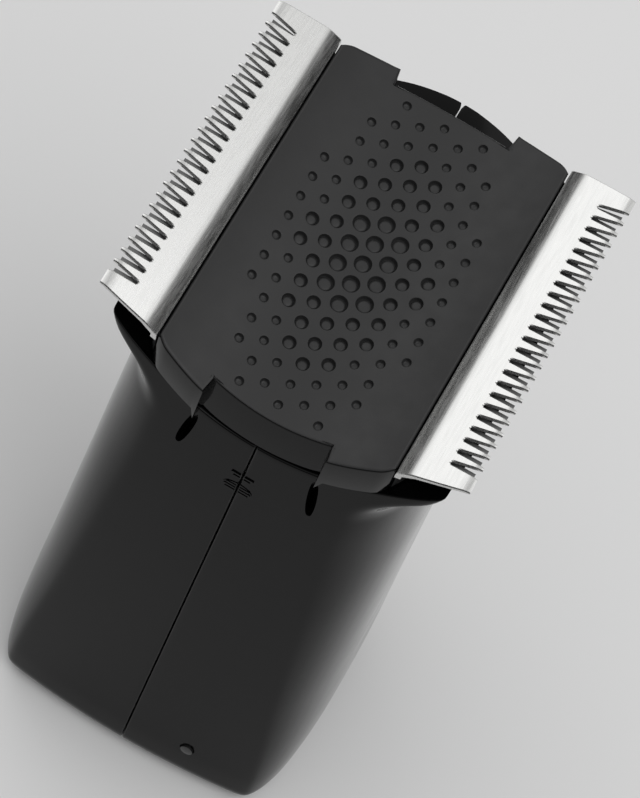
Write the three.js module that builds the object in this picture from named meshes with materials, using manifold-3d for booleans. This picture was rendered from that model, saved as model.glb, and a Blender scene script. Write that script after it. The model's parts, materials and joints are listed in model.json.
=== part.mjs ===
// Body groomer: a concave dimpled skin plate between two toothed cutting edges, on a
// chunky two-shell handle. Millimetres, +Z up. The handle stands on its flat base, the
// seam between its shells lies in the plane X = 0, and -Y is the front.
//
// The head has a frame of its own: X across, V along the cutting edges and N out of the
// skin plate. It is the world frame tilted forward about X, and its origin is the middle
// of the plate. Every layer of the head is concentric about one line parallel to V.

import * as THREE from "three";
import { mergeVertices } from "three/addons/utils/BufferGeometryUtils.js";
import Module from "manifold-3d";

const wasm = await Module();
wasm.setup();

// ---- driving dimensions ------------------------------------------------------------

const GAP = 0.3; // between two pieces that touch

// middle of the whole part, front to back
const MIDDLE_Y = 2.231;

// head frame
const HEAD_TILT = THREE.MathUtils.degToRad(10);
const HEAD_Y = 0.5;
const HEAD_Z = 74;

// skin plate and its layers, as radii about the line N = PLATE_RADIUS
const PLATE_RADIUS = 27;
const PLATE_THICK = 1.4;
const CARRIAGE_TOP = PLATE_RADIUS + PLATE_THICK + GAP;
const CARRIAGE_THICK = 1.2;
const CARRIAGE_HALF = 14.1;
const FLOOR_TOP = CARRIAGE_TOP + CARRIAGE_THICK + GAP;
const PARTING_RADIUS = 32.3; // where the head meets the handle
const PLATE_HALF = 12.2;
const COVER_HALF = 13.5; // the cover's end walls reach under the blades

// ends of the plate and of the blades, arcs in the X-V plane
const END_REACH = 20;
const END_RADIUS = 36;
const NOTCH_HALF = 6.1;
const NOTCH_DEPTH = 1.7;
const END_WALL = 1.5;
const BLADE_REACH = 18.5;
const BLADE_END_RADIUS = 120;

// fixed blades: steep inner strip, then the toothed flat
const BLADE_INNER = new THREE.Vector2(12.5, 3.0);
const BLADE_BEND = new THREE.Vector2(13.8, 4.0);
const BLADE_TIP = new THREE.Vector2(19.2, 5.6);
const BLADE_THICK = 0.6;
const BLADE_FLANGE = 2.6; // turned down behind the inner edge
const FLANGE_WINDOW = 6.6; // half length of the window that the cutter passes through

// teeth
const TOOTH_PITCH = 1.3;
const TOOTH_GAPS = 24;
const TOOTH_ROOT = 16.5;
const GAP_TIP_HALF = 0.47;
const GAP_ROOT_HALF = 0.2;

// moving cutters
const CUTTER_THICK = 0.5;
const CUTTER_DROP = BLADE_THICK + 0.2;
const CUTTER_INNER_X = 14.0;
const CUTTER_TIP_X = 18.8;
const CUTTER_HALF = 15.2;
const CUTTER_ARM_HALF = 4.5;
const STROKE = 0.65;

// drive
const DRIVE_V = -4;
const PIN_RADIUS = 1.0;
const PIN_TOP = -3.2;
const ECCENTRIC_RADIUS = 3.2;
const ECCENTRIC_TOP = -8.2;
const ECCENTRIC_BOTTOM = -10.4;
const DECK_TOP = -11.8;
const DECK_THICK = 1.6;
const MOTOR_HALF_X = 10;
const MOTOR_HALF_V = 7.5;
const MOTOR_TOP = DECK_TOP - DECK_THICK - GAP;
const MOTOR_LENGTH = 24;
const MOTOR_BOSS_RADIUS = 3;
const SHAFT_RADIUS = 1;

// handle
const WALL = 1.9;
const FLOOR = 2.4;
const BASE_ROUND = 2.6;
const BODY_TOP = 84;
// between these heights the handle's levels tilt until they are parallel to the head
const LEVEL_BELOW = 30;
const TILTED_ABOVE = 60;
const TILT_PIVOT_Y = -17.4;
const FRONT_RADIUS = 100;
const FLANK_END_Y = -3;
const FLANK_TURN = 2.4; // how far behind the facet's edge the flank turns
const BACK_START_Y = 3;

// [height, value] stations of the handle's outline
const FRONT_HALF = [
  [0, 14.6], [6, 14.4], [22, 12.9], [40, 11.5], [56, 10.5], [61, 10.5], [62.7, 10.9],
  [64.4, 11.9], [66, 13.4], [69, 16.8], [71, 17.7], [73, 18.1],
];
const SIDE_HALF = [
  [0, 17.2], [6, 17.5], [22, 17.1], [45, 16.5], [61, 16.1], [66, 16.4], [69, 17.2],
  [71, 17.9], [73, 18.2],
];
const FRONT_Y = [[0, -18.2], [6, -18.4], [66, -17.4], [84, -17.0]];
const BACK_Y = [[0, 19.6], [6, 20.0], [50, 21.4], [60, 22.6], [65, 23.3], [73, 23.6]];

// battery and board
const CELL_X = -1;
const CELL_Y = -3;
const CELL_RADIUS = 7;
const CELL_BOTTOM = 4.6;
const CELL_LENGTH = 25.4;
const BOARD_Y = 13.2;
const BOARD_THICK = 1.2;
const BOARD_HALF = 9.6;
const BOARD_BOTTOM = 4.4;
const BOARD_TOP = 56;

// power button
const BUTTON_Z = 44;
const BUTTON_HALF_X = 4;
const BUTTON_HALF_Z = 6.5;
const BUTTON_FACE_Y = 22.2;
const BUTTON_FLANGE_Y = 17.4;

// latch windows below the head
const WINDOW_X = 6.7;
const WINDOW_HALF = 0.45;
const WINDOW_BOTTOM = 59.4;
const WINDOW_HEIGHT = 5;

// ---- solids ------------------------------------------------------------------------

function toSolid(geometry) {
  const bare = geometry.clone();
  bare.deleteAttribute("normal");
  bare.deleteAttribute("uv");
  const welded = mergeVertices(bare, 1e-4);
  const vertProperties = Float32Array.from(welded.attributes.position.array);
  const triVerts = Uint32Array.from(welded.index.array);
  return new wasm.Manifold(new wasm.Mesh({ numProp: 3, vertProperties, triVerts }));
}

function toGeometry(solid) {
  const mesh = solid.getMesh();
  const geometry = new THREE.BufferGeometry();
  geometry.setAttribute("position", new THREE.BufferAttribute(mesh.vertProperties, 3));
  geometry.setIndex(new THREE.BufferAttribute(mesh.triVerts, 1));
  geometry.computeVertexNormals();
  return geometry;
}

const union = (solids) => solids.reduce((sum, solid) => sum.add(solid));
const minus = (solid, cutters) => cutters.reduce((rest, cutter) => rest.subtract(cutter), solid);

// A box from its lowest to its highest corner.
function block(low, high) {
  const size = high.map((value, i) => value - low[i]);
  const geometry = new THREE.BoxGeometry(...size);
  geometry.translate(...high.map((value, i) => (value + low[i]) / 2));
  return toSolid(geometry);
}

// A cylinder about the third axis, between two heights.
function rod(x, y, low, high, radius, sides = 24) {
  const geometry = new THREE.CylinderGeometry(radius, radius, high - low, sides);
  geometry.rotateX(Math.PI / 2);
  geometry.translate(x, y, (low + high) / 2);
  return toSolid(geometry);
}

// A flat outline, extruded along the third axis.
function plateOf(points, low, high) {
  const shape = new THREE.Shape(points);
  const geometry = new THREE.ExtrudeGeometry(shape, { depth: high - low, bevelEnabled: false });
  geometry.translate(0, 0, low);
  return toSolid(geometry);
}

// A profile in the X-N plane, extruded along V.
function alongV(points, low, high) {
  const shape = new THREE.Shape(points);
  const geometry = new THREE.ExtrudeGeometry(shape, { depth: high - low, bevelEnabled: false });
  geometry.rotateX(Math.PI / 2);
  geometry.translate(0, high, 0);
  return toSolid(geometry);
}

// A closed solid through rings of points, from the lowest ring to the highest.
function loft(rings) {
  const count = rings[0].length;
  const positions = rings.flat().flatMap((p) => [p.x, p.y, p.z]);
  const triangles = [];
  for (let r = 0; r + 1 < rings.length; r++) {
    for (let i = 0; i < count; i++) {
      const a = r * count + i;
      const b = r * count + ((i + 1) % count);
      triangles.push(a, b, b + count, a, b + count, a + count);
    }
  }
  const lastRing = (rings.length - 1) * count;
  for (const [i, j, k] of THREE.ShapeUtils.triangulateShape(rings[0], [])) {
    triangles.push(k, j, i);
  }
  for (const [i, j, k] of THREE.ShapeUtils.triangulateShape(rings[rings.length - 1], [])) {
    triangles.push(lastRing + i, lastRing + j, lastRing + k);
  }
  const geometry = new THREE.BufferGeometry();
  geometry.setAttribute("position", new THREE.Float32BufferAttribute(positions, 3));
  geometry.setIndex(triangles);
  return toSolid(geometry);
}

// ---- head frame --------------------------------------------------------------------

const head = new THREE.Group();
head.position.set(0, HEAD_Y, HEAD_Z);
head.rotation.x = HEAD_TILT;
head.updateMatrixWorld();

// Moves a solid from the head's frame to the world.
function toWorld(solid) {
  const geometry = toGeometry(solid);
  geometry.applyMatrix4(head.matrixWorld);
  return toSolid(geometry);
}

// Height N of a concentric layer at distance x from the middle.
const layerN = (radius, x) => PLATE_RADIUS - Math.sqrt(radius * radius - x * x);

// Part of a concentric layer, between two radii and two distances x, along V.
function layer(inner, outer, fromX, toX, lowV, highV, steps = 20) {
  const points = [];
  for (let i = 0; i <= steps; i++) {
    const x = fromX + ((toX - fromX) * i) / steps;
    points.push(new THREE.Vector2(x, layerN(outer, x)));
  }
  for (let i = steps; i >= 0; i--) {
    const x = fromX + ((toX - fromX) * i) / steps;
    points.push(new THREE.Vector2(x, layerN(inner, x)));
  }
  return alongV(points, lowV, highV);
}

// Reach along V of the head's end arc at distance x, less an inset, and that of a blade's.
const endV = (x, inset = 0) => END_REACH - (x * x) / (2 * END_RADIUS) - inset;
const bladeEndV = (x) => BLADE_REACH - (x * x) / (2 * BLADE_END_RADIUS);

// One end of the outline, from x = -half to +half, with the notch in its middle.
function endLine(half, inset, notch) {
  const xs = [];
  for (let i = 0; i <= 6; i++) {
    xs.push(-half + ((half - NOTCH_HALF - inset) * i) / 6);
  }
  const line = xs.map((x) => new THREE.Vector2(x, endV(x, inset)));
  for (let i = 0; i <= 6; i++) {
    const x = (NOTCH_HALF + inset) * (i / 3 - 1);
    line.push(new THREE.Vector2(x * 0.98, endV(x, inset) - notch));
  }
  for (const x of xs.reverse()) {
    line.push(new THREE.Vector2(-x, endV(x, inset)));
  }
  return line;
}

// The head's outline in the X-V plane, with a notch at both ends.
function headOutline(half, inset = 0, notch = NOTCH_DEPTH) {
  const back = endLine(half, inset, notch);
  const front = back.map((p) => new THREE.Vector2(-p.x, -p.y));
  return [...back, ...front].reverse();
}

// ---- head pieces -------------------------------------------------------------------

const REACH = 30; // longer than any head piece

// Skin plate with the two end walls that hang from it.
function headCover() {
  const bottom = PARTING_RADIUS - GAP / 2;
  const under = PLATE_RADIUS + PLATE_THICK;
  const plate = layer(PLATE_RADIUS, under, -PLATE_HALF, PLATE_HALF, -REACH, REACH);
  const wallTop = layer(PLATE_RADIUS, FLOOR_TOP, -PLATE_HALF, PLATE_HALF, -REACH, REACH);
  const wallFoot = layer(CARRIAGE_TOP, bottom, -COVER_HALF, COVER_HALF, -REACH, REACH);
  const outside = plateOf(headOutline(COVER_HALF), -REACH, REACH);
  const inside = plateOf(headOutline(COVER_HALF + 1, END_WALL), -REACH, REACH);
  const walls = wallTop.add(wallFoot).subtract(inside);
  return plate.add(walls).intersect(outside);
}

// Floor of the head, with a spigot that plugs into the handle and rails under the cutters.
function headFrame() {
  const RAIL_HALF = 17.4;
  const SPIGOT_X = 10.8;
  const SPIGOT_V = 11.4;
  const SPIGOT_BOTTOM = -8.6;
  const SPIGOT_WALL = 1.3;
  const TONGUE_V = -14.6;
  const TONGUE_HALF = 1.2;
  const TONGUE_THICK = 1.4;
  const TONGUE_BOTTOM = -8.2;
  const DRIVE_HOLE_X = 5.4;
  const DRIVE_HOLE_V = 6;
  const bottom = PARTING_RADIUS - GAP / 2;
  const floor = layer(FLOOR_TOP, bottom, -RAIL_HALF, RAIL_HALF, -REACH, REACH, 28);
  const outline = plateOf(headOutline(RAIL_HALF, END_WALL + GAP), -REACH, REACH);
  const below = layer(FLOOR_TOP, PARTING_RADIUS + 12, -SPIGOT_X, SPIGOT_X, -SPIGOT_V, SPIGOT_V);
  const spigotBox = block([-SPIGOT_X, -SPIGOT_V, SPIGOT_BOTTOM], [SPIGOT_X, SPIGOT_V, REACH]);
  const spigotHole = block(
    [SPIGOT_WALL - SPIGOT_X, SPIGOT_WALL - SPIGOT_V, -REACH],
    [SPIGOT_X - SPIGOT_WALL, SPIGOT_V - SPIGOT_WALL, layerN(FLOOR_TOP, SPIGOT_X) - 2],
  );
  const spigot = below.intersect(spigotBox).subtract(spigotHole);
  const driveHole = block(
    [-DRIVE_HOLE_X, DRIVE_V - DRIVE_HOLE_V, -REACH],
    [DRIVE_HOLE_X, DRIVE_V + DRIVE_HOLE_V, REACH],
  );
  const tongueTop = layerN(FLOOR_TOP + 0.5, WINDOW_X);
  const tongues = [-1, 1].map((side) => {
    const x = side * WINDOW_X;
    return block(
      [x - TONGUE_HALF, TONGUE_V, TONGUE_BOTTOM],
      [x + TONGUE_HALF, TONGUE_V + TONGUE_THICK, tongueTop],
    );
  });
  return union([floor.intersect(outline), spigot, ...tongues]).subtract(driveHole);
}

// Direction across a blade's toothed flat, and the profile line at a drop below its top.
const bladeSlope = (BLADE_TIP.y - BLADE_BEND.y) / (BLADE_TIP.x - BLADE_BEND.x);
const bladeN = (x, drop = 0) => BLADE_BEND.y + (x - BLADE_BEND.x) * bladeSlope - drop;

// Outline of a toothed strip in the X-V plane, from its inner edge to its tooth tips.
function toothedOutline(innerX, tipX, gaps, endAt) {
  const points = [];
  points.push(new THREE.Vector2(innerX, -endAt(innerX)));
  points.push(new THREE.Vector2(tipX, -endAt(tipX)));
  for (let i = 0; i < gaps; i++) {
    const v = (i - (gaps - 1) / 2) * TOOTH_PITCH;
    points.push(new THREE.Vector2(tipX, v - GAP_TIP_HALF));
    points.push(new THREE.Vector2(TOOTH_ROOT, v - GAP_ROOT_HALF));
    points.push(new THREE.Vector2(TOOTH_ROOT - 0.15, v));
    points.push(new THREE.Vector2(TOOTH_ROOT, v + GAP_ROOT_HALF));
    points.push(new THREE.Vector2(tipX, v + GAP_TIP_HALF));
  }
  points.push(new THREE.Vector2(tipX, endAt(tipX)));
  points.push(new THREE.Vector2(innerX, endAt(innerX)));
  return points;
}

// Fixed blade on the +X side.
function fixedBlade() {
  const profile = [
    new THREE.Vector2(BLADE_INNER.x, BLADE_INNER.y - BLADE_FLANGE),
    new THREE.Vector2(BLADE_INNER.x + BLADE_THICK, BLADE_INNER.y - BLADE_FLANGE),
    new THREE.Vector2(BLADE_INNER.x + BLADE_THICK, BLADE_INNER.y - 0.3),
    new THREE.Vector2(BLADE_BEND.x + 0.25, BLADE_BEND.y - BLADE_THICK),
    new THREE.Vector2(BLADE_TIP.x, BLADE_TIP.y - BLADE_THICK + 0.2),
    BLADE_TIP,
    BLADE_BEND,
    BLADE_INNER,
  ];
  const strip = alongV(profile, -REACH, REACH);
  const outline = toothedOutline(BLADE_INNER.x - 1, BLADE_TIP.x, TOOTH_GAPS, bladeEndV);
  const window = block(
    [BLADE_INNER.x - 1, -FLANGE_WINDOW, BLADE_INNER.y - BLADE_FLANGE - 1],
    [BLADE_INNER.x + 2, FLANGE_WINDOW, BLADE_INNER.y - 0.7],
  );
  const footRoom = layerN(CARRIAGE_TOP, PLATE_HALF + 1) + 0.6;
  const clearOfFeet = endV(PLATE_HALF) - END_WALL - 0.5;
  const corners = block(
    [BLADE_INNER.x - 1, -REACH, -REACH],
    [BLADE_INNER.x + 1, REACH, footRoom],
  ).subtract(block([0, -clearOfFeet, -REACH], [REACH, clearOfFeet, REACH]));
  return minus(strip.intersect(plateOf(outline, -REACH, REACH)), [window, corners]);
}

// Moving cutter on the +X side, with the arm that the carriage drives.
function movingCutter() {
  const top = CUTTER_DROP;
  const bottom = CUTTER_DROP + CUTTER_THICK;
  const flat = [
    new THREE.Vector2(CUTTER_INNER_X, bladeN(CUTTER_INNER_X, bottom)),
    new THREE.Vector2(CUTTER_TIP_X, bladeN(CUTTER_TIP_X, bottom - 0.15)),
    new THREE.Vector2(CUTTER_TIP_X, bladeN(CUTTER_TIP_X, top)),
    new THREE.Vector2(CUTTER_INNER_X, bladeN(CUTTER_INNER_X, top)),
  ];
  const armFoot = layerN(CARRIAGE_TOP, CARRIAGE_HALF) + 0.1;
  const arm = [
    new THREE.Vector2(CUTTER_INNER_X - 0.6, armFoot),
    new THREE.Vector2(CUTTER_INNER_X + 0.5, armFoot),
    new THREE.Vector2(CUTTER_INNER_X + 0.5, bladeN(CUTTER_INNER_X, bottom - 0.2)),
    new THREE.Vector2(CUTTER_INNER_X - 0.6, bladeN(CUTTER_INNER_X, bottom + 0.4)),
  ];
  const outline = toothedOutline(CUTTER_INNER_X - 1, CUTTER_TIP_X, TOOTH_GAPS - 1, () => CUTTER_HALF);
  const strip = alongV(flat, -REACH, REACH).intersect(plateOf(outline, -REACH, REACH));
  return strip.add(alongV(arm, -CUTTER_ARM_HALF, CUTTER_ARM_HALF));
}

// Curved plate under the skin plate that carries both cutters, with the drive slot.
function cutterCarriage() {
  const FRONT_V = -9.5;
  const BACK_V = 5;
  const BOSS_BOTTOM = -6;
  const BOSS_HALF_X = 4.2;
  const BOSS_HALF_V = 4.4;
  const under = CARRIAGE_TOP + CARRIAGE_THICK;
  const plate = layer(CARRIAGE_TOP, under, -CARRIAGE_HALF, CARRIAGE_HALF, FRONT_V, BACK_V, 24);
  const armsOnly = block([-PLATE_HALF, -REACH, -REACH], [PLATE_HALF, REACH, REACH])
    .add(block([-REACH, -CUTTER_ARM_HALF, -REACH], [REACH, CUTTER_ARM_HALF, REACH]));
  const bossTop = layerN(CARRIAGE_TOP, 0) - GAP;
  const boss = block(
    [-BOSS_HALF_X, DRIVE_V - BOSS_HALF_V, BOSS_BOTTOM],
    [BOSS_HALF_X, DRIVE_V + BOSS_HALF_V, bossTop],
  );
  const slotHalfX = STROKE + PIN_RADIUS + 0.5;
  const slotHalfV = 2 * STROKE + PIN_RADIUS + 0.5;
  const slot = block(
    [-slotHalfX, DRIVE_V - slotHalfV, BOSS_BOTTOM - 1],
    [slotHalfX, DRIVE_V + slotHalfV, PIN_TOP + 0.5],
  );
  return plate.add(boss).intersect(armsOnly).subtract(slot);
}

// Arched leaf spring under the +X cutter.
function cutterSpring() {
  const HALF_LENGTH = 10;
  const THICK = 0.35;
  const X = 15.6;
  const WIDTH = 1.6;
  const footN = layerN(FLOOR_TOP, X + WIDTH / 2) + GAP;
  const crownN = bladeN(X, CUTTER_DROP + CUTTER_THICK) - 0.75;
  const points = [];
  const archN = (v) => crownN - (crownN - footN) * (v / HALF_LENGTH) ** 2;
  for (let v = -HALF_LENGTH; v <= HALF_LENGTH; v += 2) {
    points.push(new THREE.Vector2(v, archN(v)));
  }
  for (let v = HALF_LENGTH; v >= -HALF_LENGTH; v -= 2) {
    points.push(new THREE.Vector2(v, archN(v) + THICK));
  }
  const shape = new THREE.Shape(points);
  const geometry = new THREE.ExtrudeGeometry(shape, { depth: WIDTH, bevelEnabled: false });
  geometry.rotateX(Math.PI / 2);
  geometry.rotateZ(Math.PI / 2);
  geometry.translate(X - WIDTH / 2, 0, 0);
  return toSolid(geometry);
}

// ---- drive -------------------------------------------------------------------------

function eccentric() {
  const disc = rod(0, DRIVE_V, ECCENTRIC_BOTTOM, ECCENTRIC_TOP, ECCENTRIC_RADIUS, 32);
  const pin = rod(STROKE, DRIVE_V, ECCENTRIC_TOP - 0.5, PIN_TOP, PIN_RADIUS);
  const bore = rod(0, DRIVE_V, ECCENTRIC_BOTTOM - 1, ECCENTRIC_BOTTOM + 1.4, SHAFT_RADIUS + 0.1);
  return disc.add(pin).subtract(bore);
}

const motorShaft = () => rod(0, DRIVE_V, MOTOR_TOP - 2, ECCENTRIC_BOTTOM + 1.3, SHAFT_RADIUS);

function neckSeal() {
  const ring = rod(0, DRIVE_V, DECK_TOP + GAP / 2, ECCENTRIC_BOTTOM - GAP, 4);
  return ring.subtract(rod(0, DRIVE_V, DECK_TOP - 1, ECCENTRIC_BOTTOM + 1, SHAFT_RADIUS + GAP));
}

const MOTOR_SCREW_X = 6.4;
const MOTOR_SCREW_RADIUS = 0.8;

// Outline of the motor's can: a slot shape, round at both ends.
function motorOutline() {
  const ROUND_X = 6.6; // where each round end starts
  const outline = [];
  for (const side of [1, -1]) {
    for (let i = 0; i <= 8; i++) {
      const angle = Math.PI * (i / 8 - 0.5);
      const x = side * (ROUND_X + (MOTOR_HALF_X - ROUND_X) * Math.cos(angle));
      outline.push(new THREE.Vector2(x, DRIVE_V + side * MOTOR_HALF_V * Math.sin(angle)));
    }
  }
  return outline;
}

function motorCan() {
  const can = plateOf(motorOutline(), MOTOR_TOP - MOTOR_LENGTH, MOTOR_TOP);
  const boss = rod(0, DRIVE_V, MOTOR_TOP - 0.5, MOTOR_TOP + 1.2, MOTOR_BOSS_RADIUS);
  const bore = rod(0, DRIVE_V, MOTOR_TOP - 2.6, MOTOR_TOP + 2, SHAFT_RADIUS + GAP);
  const screwHoles = [-1, 1].map((side) => {
    const x = side * MOTOR_SCREW_X;
    return rod(x, DRIVE_V, MOTOR_TOP - 2.4, MOTOR_TOP + 1, MOTOR_SCREW_RADIUS + 0.2);
  });
  return minus(can.add(boss), [bore, ...screwHoles]);
}

function motorEndbell() {
  const top = MOTOR_TOP - MOTOR_LENGTH - GAP;
  const cap = block([-8.6, DRIVE_V - 6.4, top - 1.6], [8.6, DRIVE_V + 6.4, top]);
  const hub = rod(0, DRIVE_V, top - 2.2, top - 1, 2.6);
  return cap.add(hub);
}

function motorScrew(side) {
  const x = side * MOTOR_SCREW_X;
  const shank = rod(x, DRIVE_V, MOTOR_TOP - 2, DECK_TOP + 0.4, MOTOR_SCREW_RADIUS, 12);
  return shank.add(rod(x, DRIVE_V, DECK_TOP + 0.15, DECK_TOP + 1.0, 1.5, 16));
}

// ---- handle ------------------------------------------------------------------------

const FAR = 60; // longer than half the handle

// Value of a [height, value] list at a height, straight between its stations.
function station(list, z) {
  const last = list[list.length - 1];
  if (z >= last[0]) return last[1];
  const i = list.findIndex(([height]) => height > z);
  const [z0, value0] = list[i - 1];
  const [z1, value1] = list[i];
  return value0 + ((value1 - value0) * (z - z0)) / (z1 - z0);
}

// Outline of the handle at a height: front facet, rounded flanks, straight sides, oval back.
function bodyOutline(z, inset) {
  const frontHalf = station(FRONT_HALF, z) - inset * 0.7;
  const sideHalf = station(SIDE_HALF, z) - inset;
  const frontY = station(FRONT_Y, z) + inset;
  const backY = station(BACK_Y, z) - inset;
  const facetY = (x) => frontY + (x * x) / (2 * FRONT_RADIUS);
  const half = [];
  for (let i = 0; i < 5; i++) {
    const x = (frontHalf * i) / 5;
    half.push(new THREE.Vector2(x, facetY(x)));
  }
  const corner = new THREE.Vector2(frontHalf, facetY(frontHalf));
  const control = new THREE.Vector2(sideHalf - 0.1, corner.y + FLANK_TURN);
  const end = new THREE.Vector2(sideHalf, FLANK_END_Y);
  const flank = new THREE.QuadraticBezierCurve(corner, control, end);
  half.push(...flank.getPoints(6));
  for (let i = 0; i <= 10; i++) {
    const angle = (Math.PI / 2) * (i / 10);
    const y = BACK_START_Y + (backY - BACK_START_Y) * Math.sin(angle);
    half.push(new THREE.Vector2(sideHalf * Math.cos(angle), y));
  }
  half[half.length - 1].x = 0;
  const other = half.slice(1, -1).map((p) => new THREE.Vector2(-p.x, p.y)).reverse();
  return [...half, ...other];
}

const BODY_HEIGHTS = [6, 22, 30, 40, 50, 56, 60, 61, 62.7, 64.4, 66, 67.5, 69, 71, 73, BODY_TOP];

// The handle's body, shrunk by an inset and closed at a bottom height. Its upper levels tilt.
function body(inset, bottom) {
  const rings = [];
  for (let i = 0; i <= 4; i++) {
    const angle = (Math.PI / 2) * (i / 4);
    const round = BASE_ROUND * (1 - Math.sin(angle));
    const z = bottom + BASE_ROUND * (1 - Math.cos(angle));
    rings.push(bodyOutline(z, inset + round).map((p) => new THREE.Vector3(p.x, p.y, z)));
  }
  for (const z of BODY_HEIGHTS) {
    const tilt = Math.tan(HEAD_TILT) * THREE.MathUtils.smoothstep(z, LEVEL_BELOW, TILTED_ABOVE);
    const lifted = (p) => new THREE.Vector3(p.x, p.y, z + tilt * (p.y - TILT_PIVOT_Y));
    rings.push(bodyOutline(z, inset).map(lifted));
  }
  return loft(rings);
}

const outerBody = body(0, 0);
const innerBody = body(WALL, FLOOR);

// Everything above the concave surface on which the head sits, as a trough opened upward.
function headSweep(radius) {
  const HALF = 26;
  const points = [];
  const sides = 32;
  const limit = Math.asin(HALF / radius);
  for (let i = 0; i <= sides; i++) {
    const angle = -limit + (2 * limit * i) / sides;
    points.push(new THREE.Vector2(radius * Math.sin(angle), PLATE_RADIUS - radius * Math.cos(angle)));
  }
  points.push(new THREE.Vector2(HALF, FAR));
  points.push(new THREE.Vector2(-HALF, FAR));
  return alongV(points, -FAR, FAR);
}

const overHead = toWorld(headSweep(PARTING_RADIUS + GAP / 2));

// Plates inside the shells that hold the cell and the motor, and rails for the board.
function shellRibs() {
  const RIB_THICK = 1.2;
  const RAIL_THICK = 0.8;
  const cellRibs = [11.5, 23.5].map((z) => {
    const around = rod(CELL_X, CELL_Y, z - 1, z + 3, CELL_RADIUS + GAP, 40);
    const rib = block([-FAR, CELL_Y - CELL_RADIUS, z], [FAR, CELL_Y + CELL_RADIUS, z + RIB_THICK]);
    return rib.subtract(around);
  });
  const motorRibs = [-20, -32].map((n) => {
    const room = block(
      [-MOTOR_HALF_X - GAP, DRIVE_V - MOTOR_HALF_V - GAP, n - 2],
      [MOTOR_HALF_X + GAP, DRIVE_V + MOTOR_HALF_V + GAP, n + 2],
    );
    const around = block(
      [-FAR, DRIVE_V - 6, n - RIB_THICK / 2],
      [FAR, DRIVE_V + 6, n + RIB_THICK / 2],
    );
    return toWorld(around.subtract(room));
  });
  const deckN = DECK_TOP - DECK_THICK - GAP;
  const ledge = block([-FAR, -4, deckN - RIB_THICK], [FAR, 4, deckN])
    .subtract(block([-12.4, -5, deckN - 3], [12.4, 5, deckN + 1]));
  const railYs = [BOARD_Y - GAP - RAIL_THICK, BOARD_Y + BOARD_THICK + GAP];
  const boardRails = railYs.map((y) => {
    const across = block([-FAR, y, 8], [FAR, y + RAIL_THICK, 54]);
    const open = BOARD_HALF - 0.7;
    return across.subtract(block([-open, y - 1, 7], [open, y + 2, 55]));
  });
  return union([...cellRibs, ...motorRibs, toWorld(ledge), ...boardRails]).intersect(body(0.6, 0.6));
}

// A rounded rectangle in the X-Z plane, extruded along Y.
function padAlongY(halfX, halfZ, z, lowY, highY) {
  const shape = new THREE.Shape();
  shape.absarc(0, halfZ - halfX, halfX, 0, Math.PI);
  shape.absarc(0, halfX - halfZ, halfX, Math.PI, 2 * Math.PI);
  const depth = highY - lowY;
  const geometry = new THREE.ExtrudeGeometry(shape, { depth, bevelEnabled: false, curveSegments: 10 });
  geometry.rotateX(Math.PI / 2);
  geometry.translate(0, highY, z);
  return toSolid(geometry);
}

const PIPE_X = 6.9;
const PIPE_Z = 7;
const PIPE_RADIUS = 0.7;
const CHARGE_PIN_X = 4;
const CHARGE_PIN_Y = 10.4;
const CHARGE_PIN_RADIUS = 1.3;

// A cylinder along Y.
function rodAlongY(x, z, lowY, highY, radius, sides = 16) {
  const geometry = new THREE.CylinderGeometry(radius, radius, highY - lowY, sides);
  geometry.translate(x, (lowY + highY) / 2, z);
  return toSolid(geometry);
}

// Both shells before they are parted along the seam.
function casing() {
  const windows = [-1, 1].map((side) => {
    const x = side * WINDOW_X;
    return block(
      [x - WINDOW_HALF, -FAR, WINDOW_BOTTOM],
      [x + WINDOW_HALF, -10, WINDOW_BOTTOM + WINDOW_HEIGHT],
    );
  });
  const buttonHole = padAlongY(BUTTON_HALF_X + GAP, BUTTON_HALF_Z + GAP, BUTTON_Z, 12, 30);
  const pipeHole = rodAlongY(PIPE_X, PIPE_Z, -30, -10, PIPE_RADIUS + 0.15);
  const pinHoles = [-1, 1].map((side) => {
    return rod(side * CHARGE_PIN_X, CHARGE_PIN_Y, -1, FLOOR + 1, CHARGE_PIN_RADIUS + 0.15);
  });
  const hollow = outerBody.subtract(innerBody);
  const cuts = [overHead, ...windows, buttonHole, pipeHole, ...pinHoles];
  return minus(hollow.add(shellRibs()), cuts);
}

const casingSolid = casing();

function shell(side) {
  const low = side < 0 ? -FAR : GAP / 2;
  const high = side < 0 ? -GAP / 2 : FAR;
  return casingSolid.intersect(block([low, -FAR, -FAR], [high, FAR, 2 * FAR]));
}

// Bulkhead under the head, to which the motor is screwed.
function deck() {
  const slab = toWorld(block([-FAR, -FAR, DECK_TOP - DECK_THICK], [FAR, FAR, DECK_TOP]));
  const holes = [rod(0, DRIVE_V, -FAR, FAR, MOTOR_BOSS_RADIUS + GAP)];
  for (const side of [-1, 1]) {
    holes.push(rod(side * MOTOR_SCREW_X, DRIVE_V, -FAR, FAR, MOTOR_SCREW_RADIUS + GAP));
  }
  return minus(body(WALL + GAP, FLOOR).intersect(slab), holes.map(toWorld));
}

// ---- battery, board and button -----------------------------------------------------

function cell() {
  const can = rod(CELL_X, CELL_Y, CELL_BOTTOM, CELL_BOTTOM + CELL_LENGTH - 0.8, CELL_RADIUS, 40);
  return can.add(rod(CELL_X, CELL_Y, CELL_BOTTOM, CELL_BOTTOM + CELL_LENGTH, 2.6));
}

function cellContact(z) {
  const pad = rod(CELL_X, CELL_Y, z, z + 0.4, 4);
  const strap = block([CELL_X - 1.5, CELL_Y, z], [CELL_X + 1.5, BOARD_Y - GAP, z + 0.4]);
  const tab = block([CELL_X - 1.5, BOARD_Y - GAP - 0.4, z], [CELL_X + 1.5, BOARD_Y - GAP, z + 3]);
  return union([pad, strap, tab]);
}

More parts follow.
